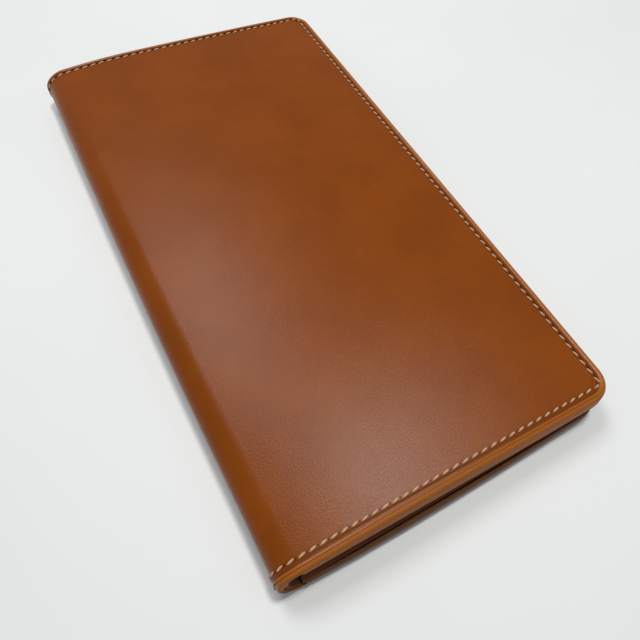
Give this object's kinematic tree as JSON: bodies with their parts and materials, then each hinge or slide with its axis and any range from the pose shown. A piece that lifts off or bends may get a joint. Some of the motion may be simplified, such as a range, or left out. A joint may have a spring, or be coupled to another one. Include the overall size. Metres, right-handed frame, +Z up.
{
  "type": "long wallet",
  "caption": "Long bifold wallet in smooth tan leather, saddle-stitched in cream thread, that opens flat like a book onto card pockets and full-length note pockets.",
  "frame": {"origin": "middle of the closed wallet's footprint, on the outer face of the back cover", "axes": "+Z up through the closed wallet from back cover to front cover, +Y along the spine towards the pockets' mouths, +X from the spine to the open edge"},
  "size_m": [0.098, 0.184, 0.0132],
  "materials": {
    "cover_leather": "smooth waxed vegetable-tanned calf, satin, burnished edges",
    "pocket_leather": "smooth thin calf, satin to matte",
    "lining_leather": "thin matte lining leather",
    "seam_thread": "waxed cream linen thread"
  },
  "bodies": {
    "back": {"back_cover_leather": "cover_leather", "back_cover_lining": "lining_leather", "back_slip_panel": "pocket_leather", "back_seam_thread": "seam_thread", "back_card_pocket_1": "pocket_leather", "back_card_pocket_2": "pocket_leather", "back_card_pocket_3": "pocket_leather", "back_card_pocket_4": "pocket_leather", "back_card_pocket_5": "pocket_leather"},
    "spine": {"spine_leather": "cover_leather", "spine_lining": "lining_leather", "spine_seam_thread_near": "seam_thread", "spine_seam_thread_far": "seam_thread"},
    "front": {"front_cover_leather": "cover_leather", "front_cover_lining": "lining_leather", "front_slip_panel": "pocket_leather", "front_seam_thread": "seam_thread", "front_card_pocket_1": "pocket_leather", "front_card_pocket_2": "pocket_leather", "front_card_pocket_3": "pocket_leather", "front_card_pocket_4": "pocket_leather", "front_card_pocket_5": "pocket_leather"}
  },
  "joints": [
    {"name": "back_fold", "type": "hinge", "parent": "back", "child": "spine", "pos_m": [-0.04699, 0, 0.00206], "axis": [0, -1, 0], "range_deg": [0, 90.7], "deforming": ["spine_leather", "spine_lining", "spine_seam_thread_near", "spine_seam_thread_far"]},
    {"name": "front_fold", "type": "hinge", "parent": "spine", "child": "front", "pos_m": [-0.04688, 0, 0.01125], "axis": [0, -1, 0], "range_deg": [0, 90.7], "deforming": ["spine_leather", "spine_lining", "spine_seam_thread_near", "spine_seam_thread_far"]}
  ],
  "couplings": [
    {"joint": "front_fold", "follows": "back_fold", "ratio": 1}
  ]
}
